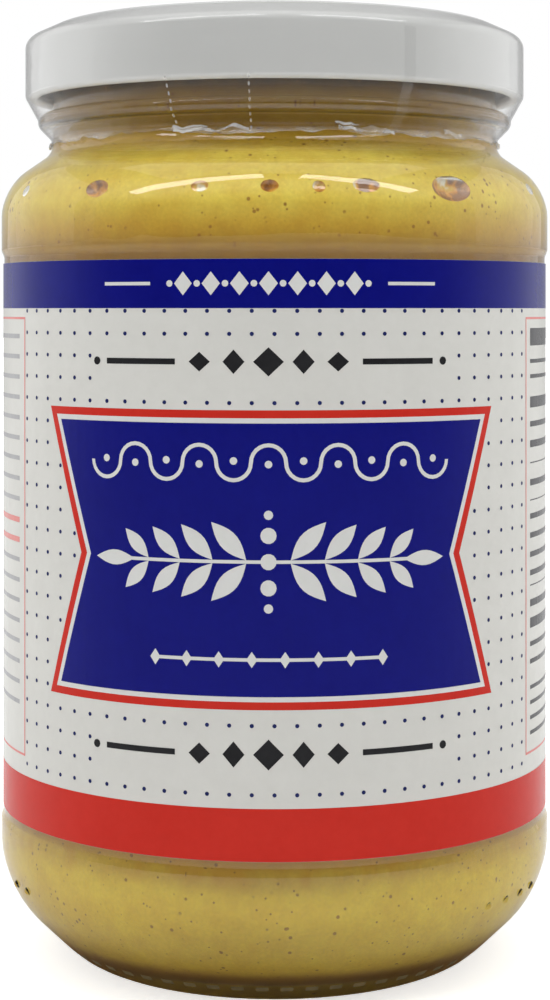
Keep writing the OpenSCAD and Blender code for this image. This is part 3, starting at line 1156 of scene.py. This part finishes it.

# %% [markdown]
# ### Film
# The film is clear: what it shows is mostly its reflections. A mix of a transparent and a glossy
# shader, shared out by how steeply the film is seen, does that without bending light. Near the hem
# the crinkled film scatters some light, so a little white is mixed in there, in the pattern of its
# folds; that white is partly haze and partly a painted highlight on the crinkles. The cut marks, the
# folds and the weld are hazy all over, and on the folds the white is partly a painted highlight too.

# %% Film material
def film_paint(name, haze_stops, low, high, strength):
    material, tree, shader, coords = start_material(name)
    tree.nodes.remove(shader)
    clear = tree.nodes.new("ShaderNodeBsdfTransparent")
    clear.inputs["Color"].default_value = (0.985, 0.985, 0.985, 1)
    shine = tree.nodes.new("ShaderNodeBsdfGlossy")
    shine.inputs["Roughness"].default_value = 0.06
    facing = tree.nodes.new("ShaderNodeLayerWeight")
    steep = tree.nodes.new("ShaderNodeMath")
    steep.operation = "POWER"
    steep.inputs[1].default_value = 4.5
    tree.links.new(facing.outputs["Facing"], steep.inputs[0])
    edge = tree.nodes.new("ShaderNodeMapRange")
    edge.inputs["To Min"].default_value = 0.022
    edge.inputs["To Max"].default_value = 0.75
    tree.links.new(steep.outputs[0], edge.inputs["Value"])
    haze_and_highlight = tree.nodes.new("ShaderNodeBsdfDiffuse")
    haze_and_highlight.inputs["Color"].default_value = (0.9, 0.9, 0.89, 1)
    folds = ramp(tree, noise(tree, coords, 260, 4, 0.6), haze_stops)
    height = tree.nodes.new("ShaderNodeSeparateXYZ")
    tree.links.new(coords, height.inputs[0])
    span = tree.nodes.new("ShaderNodeMapRange")
    span.inputs["From Min"].default_value = high * MM
    span.inputs["From Max"].default_value = low * MM
    span.inputs["To Max"].default_value = strength
    tree.links.new(height.outputs["Z"], span.inputs["Value"])
    amount = tree.nodes.new("ShaderNodeMath")
    amount.operation = "MULTIPLY"
    tree.links.new(folds, amount.inputs[0])
    tree.links.new(span.outputs[0], amount.inputs[1])
    wrinkle = tree.nodes.new("ShaderNodeBump")
    wrinkle.inputs["Distance"].default_value = 0.25 * MM
    tree.links.new(noise(tree, coords, 110, 3), wrinkle.inputs["Height"])
    tree.links.new(wrinkle.outputs["Normal"], shine.inputs["Normal"])
    tree.links.new(wrinkle.outputs["Normal"], facing.inputs["Normal"])
    hazy = tree.nodes.new("ShaderNodeMixShader")
    tree.links.new(amount.outputs[0], hazy.inputs[0])
    tree.links.new(clear.outputs[0], hazy.inputs[1])
    tree.links.new(haze_and_highlight.outputs[0], hazy.inputs[2])
    glossy = tree.nodes.new("ShaderNodeMixShader")
    tree.links.new(edge.outputs[0], glossy.inputs[0])
    tree.links.new(hazy.outputs[0], glossy.inputs[1])
    tree.links.new(shine.outputs[0], glossy.inputs[2])
    tree.links.new(glossy.outputs[0], tree.nodes["Material Output"].inputs["Surface"])
    return material


# On the hem the white is partly the film's haze and partly a painted highlight of the crinkles' shine.
hem_haze_and_highlight = [(0.42, grey(0.25)), (0.62, grey(1))]
cut_haze = [(0.3, grey(0.4)), (0.7, grey(1))]
# On the folds the white is partly the doubled film's haze and partly a painted highlight of their shine.
fold_haze_and_highlight = [(0.42, grey(0.2)), (0.56, grey(1))]
seam_haze = [(0.3, grey(0.5)), (0.7, grey(1))]
all_over = (film_low - 30, lid_top + 30)
film_material = film_paint("clear_film", hem_haze_and_highlight, film_low + 0.1, film_low + 1.6, 0.75)
cut_material = film_paint("film_cut_edges", cut_haze, *all_over, 1.0)
fold_material = film_paint("film_folds", fold_haze_and_highlight, *all_over, 1.0)
seam_material = film_paint("film_seam", seam_haze, *all_over, 0.10)
wear(film, film_material)
wear(marks, cut_material)
wear(folds, fold_material)
wear(seam, seam_material)

# %% [markdown]
# ### Paper and inks
# The paper is white, lightly varnished and very slightly cloudy. Ink on it is the same varnished
# skin in a colour, uneven by a few parts in a hundred where the press laid it on thinner.

# %% Paper and ink materials
def print_paint(name, thin, full):
    material, tree, shader, coords = start_material(name)
    cloud = ramp(tree, noise(tree, coords, 120, 3), [(0.3, grey(0.0)), (0.7, grey(0.6))])
    fibre = ramp(tree, noise(tree, coords, 700, 4, 0.65), [(0.35, grey(0.0)), (0.65, grey(0.4))])
    share = mix_colour(tree, 1.0, cloud, fibre, "ADD")
    tree.links.new(mix_colour(tree, share, (*thin, 1), (*full, 1)), shader.inputs["Base Color"])
    shader.inputs["Roughness"].default_value = 0.24
    shader.inputs["Specular IOR Level"].default_value = 0.12
    bump(tree, shader, noise(tree, coords, 1500, 3), 0.006)
    return material


paper_material = print_paint("label_paper", (0.68, 0.675, 0.635), (0.72, 0.715, 0.675))
blue_ink = print_paint("blue_ink", (0.002, 0.004, 0.20), (0.001, 0.002, 0.17))
navy_ink = print_paint("navy_ink", (0.02, 0.03, 0.14), (0.01, 0.015, 0.09))
red_ink = print_paint("red_ink", (0.63, 0.029, 0.017), (0.58, 0.022, 0.012))
pale_red_ink = print_paint("pale_red_ink", (0.78, 0.30, 0.28), (0.74, 0.22, 0.20))
black_ink = print_paint("black_ink", (0.022, 0.022, 0.024), (0.012, 0.012, 0.013))
table_ink = print_paint("table_ink", (0.085, 0.085, 0.09), (0.055, 0.055, 0.06))
grey_ink = print_paint("grey_ink", (0.46, 0.46, 0.47), (0.38, 0.38, 0.39))
white_ink = print_paint("white_ink", (0.70, 0.70, 0.68), (0.74, 0.74, 0.72))
wear(paper, paper_material)
wear(blue_band, blue_ink)
wear(red_band, red_ink)
wear(ribbon_red, red_ink)
wear(ribbon_white, white_ink)
wear(ribbon_blue, blue_ink)
wear(dots, navy_ink)
wear(panel_red, pale_red_ink)
wear(table_black, table_ink)
wear(grey_rules, grey_ink)
wear(red_rules, pale_red_ink)
wear(lozenges, white_ink)
wear(window_black, black_ink)
wear(ribbon_ornament, white_ink)

# %% [markdown]
# ## Putting the pieces in the frame
# Each piece rides on the one body of the solid model. The five turned pieces stand for the model's
# five nodes, and the print rides along with the paper.

# %% Pieces and the nodes they stand for
stands_for = {glass: "glass_jar", mustard: "mustard", lid: "lid", film: "shrink_band", paper: "label"}
for piece, node in stands_for.items():
    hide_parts(node)
prints = [
    blue_band, red_band, ribbon_red, ribbon_white, ribbon_blue, dots, panel_red, table_black,
    grey_rules, red_rules, lozenges, window_black, ribbon_ornament, marks, seam, folds,
]
for piece in [glass, mustard, lid, film, paper] + prints:
    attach(piece, "root")

# %% [markdown]
# ## Floor and light
# The jar stands on a white table that is faintly lit from below, in a white room. Table and room are
# brighter to the camera than the light they give, and the room is dim in front of the jar. Close to
# the foot the table has painted shade: it gives dark brown light there, which stands for the shade
# under the jar, so that the surroundings stay white and the glass keeps its depth. Soft lights at the
# sides make the bright edges, and two above the front make the long highlights on the shoulder.

# %% Floor
bpy.ops.object.select_all(action="DESELECT")
bpy.ops.mesh.primitive_circle_add(vertices=96, radius=6, fill_type="NGON")
floor = bpy.context.object
floor.name = "floor"
floor_material, tree, shader, coords = start_material("pale_floor")
distance = tree.nodes.new("ShaderNodeVectorMath")
distance.operation = "LENGTH"
tree.links.new(coords, distance.inputs[0])
tone = ramp(tree, noise(tree, coords, 3, 2), [(0.3, grey(0.90)), (0.7, grey(0.91))])
# Painted shade: close to the foot the table gives dark brown light, which stands for the shade under the jar.
painted_shade_by_the_foot = ramp(tree, distance.outputs["Value"], [(0.027, (0.36, 0.21, 0.085)), (0.036, grey(1))])
path = tree.nodes.new("ShaderNodeLightPath")
given_tone = mix_colour(tree, 1.0, tone, painted_shade_by_the_foot, "MULTIPLY")
tree.links.new(mix_colour(tree, path.outputs["Is Camera Ray"], given_tone, tone), shader.inputs["Base Color"])
shader.inputs["Roughness"].default_value = 0.9
shader.inputs["Specular IOR Level"].default_value = 0.1
shown_glow = ramp(tree, distance.outputs["Value"], [(0.08, grey(0.58)), (0.7, grey(1.0))])
given_glow = ramp(tree, distance.outputs["Value"], [(0.033, grey(0)), (0.055, grey(0.15))])
glow = mix_colour(tree, path.outputs["Is Camera Ray"], given_glow, shown_glow)
tree.links.new(glow, shader.inputs["Emission Color"])
shader.inputs["Emission Strength"].default_value = 1
floor.data.materials.append(floor_material)

# %% The white room
world = bpy.data.worlds.new("white_room")
bpy.context.scene.world = world
world.use_nodes = True
tree = world.node_tree
room = tree.nodes["Background"]
way = tree.nodes.new("ShaderNodeTexCoord")
forward = tree.nodes.new("ShaderNodeVectorMath")
forward.operation = "DOT_PRODUCT"
forward.inputs[1].default_value = (0, -1, 0)
tree.links.new(way.outputs["Generated"], forward.inputs[0])
dimmer = ramp(tree, forward.outputs["Value"], [(0.08, grey(0.58)), (0.65, grey(0.05))])
tree.links.new(dimmer, room.inputs["Color"])
seen = tree.nodes.new("ShaderNodeBackground")
seen.inputs["Color"].default_value = (1, 1, 1, 1)
seen.inputs["Strength"].default_value = 1.0
path = tree.nodes.new("ShaderNodeLightPath")
either = tree.nodes.new("ShaderNodeMixShader")
tree.links.new(path.outputs["Is Camera Ray"], either.inputs[0])
tree.links.new(room.outputs[0], either.inputs[1])
tree.links.new(seen.outputs[0], either.inputs[2])
tree.links.new(either.outputs[0], tree.nodes["World Output"].inputs["Surface"])

# %% Soft lights
def softbox(name, azimuth, elevation, distance, width, height, brightness, roll=0):
    """A soft light that faces the jar. The azimuth starts at the front and grows towards +X."""
    a, e = math.radians(azimuth), math.radians(elevation)
    back = Vector((math.sin(a) * math.cos(e), -math.cos(a) * math.cos(e), math.sin(e)))
    bpy.ops.object.select_all(action="DESELECT")
    bpy.ops.object.light_add(type="AREA", location=back * distance + Vector((0, 0, 0.07)))
    lamp = bpy.context.object
    lamp.name = name
    lamp.data.shape = "RECTANGLE"
    lamp.data.size = width
    lamp.data.size_y = height
    lamp.data.energy = brightness * math.pi * width * height
    facing = back.to_track_quat("Z", "Y") @ Quaternion((0, 0, 1), math.radians(roll))
    lamp.rotation_euler = facing.to_euler()
    lamp.visible_camera = False
    print(name, "gives", round(lamp.data.energy, 1), "W")
    return lamp


for side in (-1, 1):
    softbox("side_light", side * 118, 8, 1.0, 1.1, 1.2, 0.42)
    softbox("edge_light", side * 106, 8, 1.02, 1.1, 1.2, 0.22)
softbox("front_light_left", -45, 49, 1.2, 1.08, 0.16, 7.4, roll=46)
softbox("front_light_right", 47, 49, 1.2, 0.92, 0.16, 7.4, roll=-46)
softbox("top_light", 0, 88, 1.4, 1.9, 1.1, 0.85)
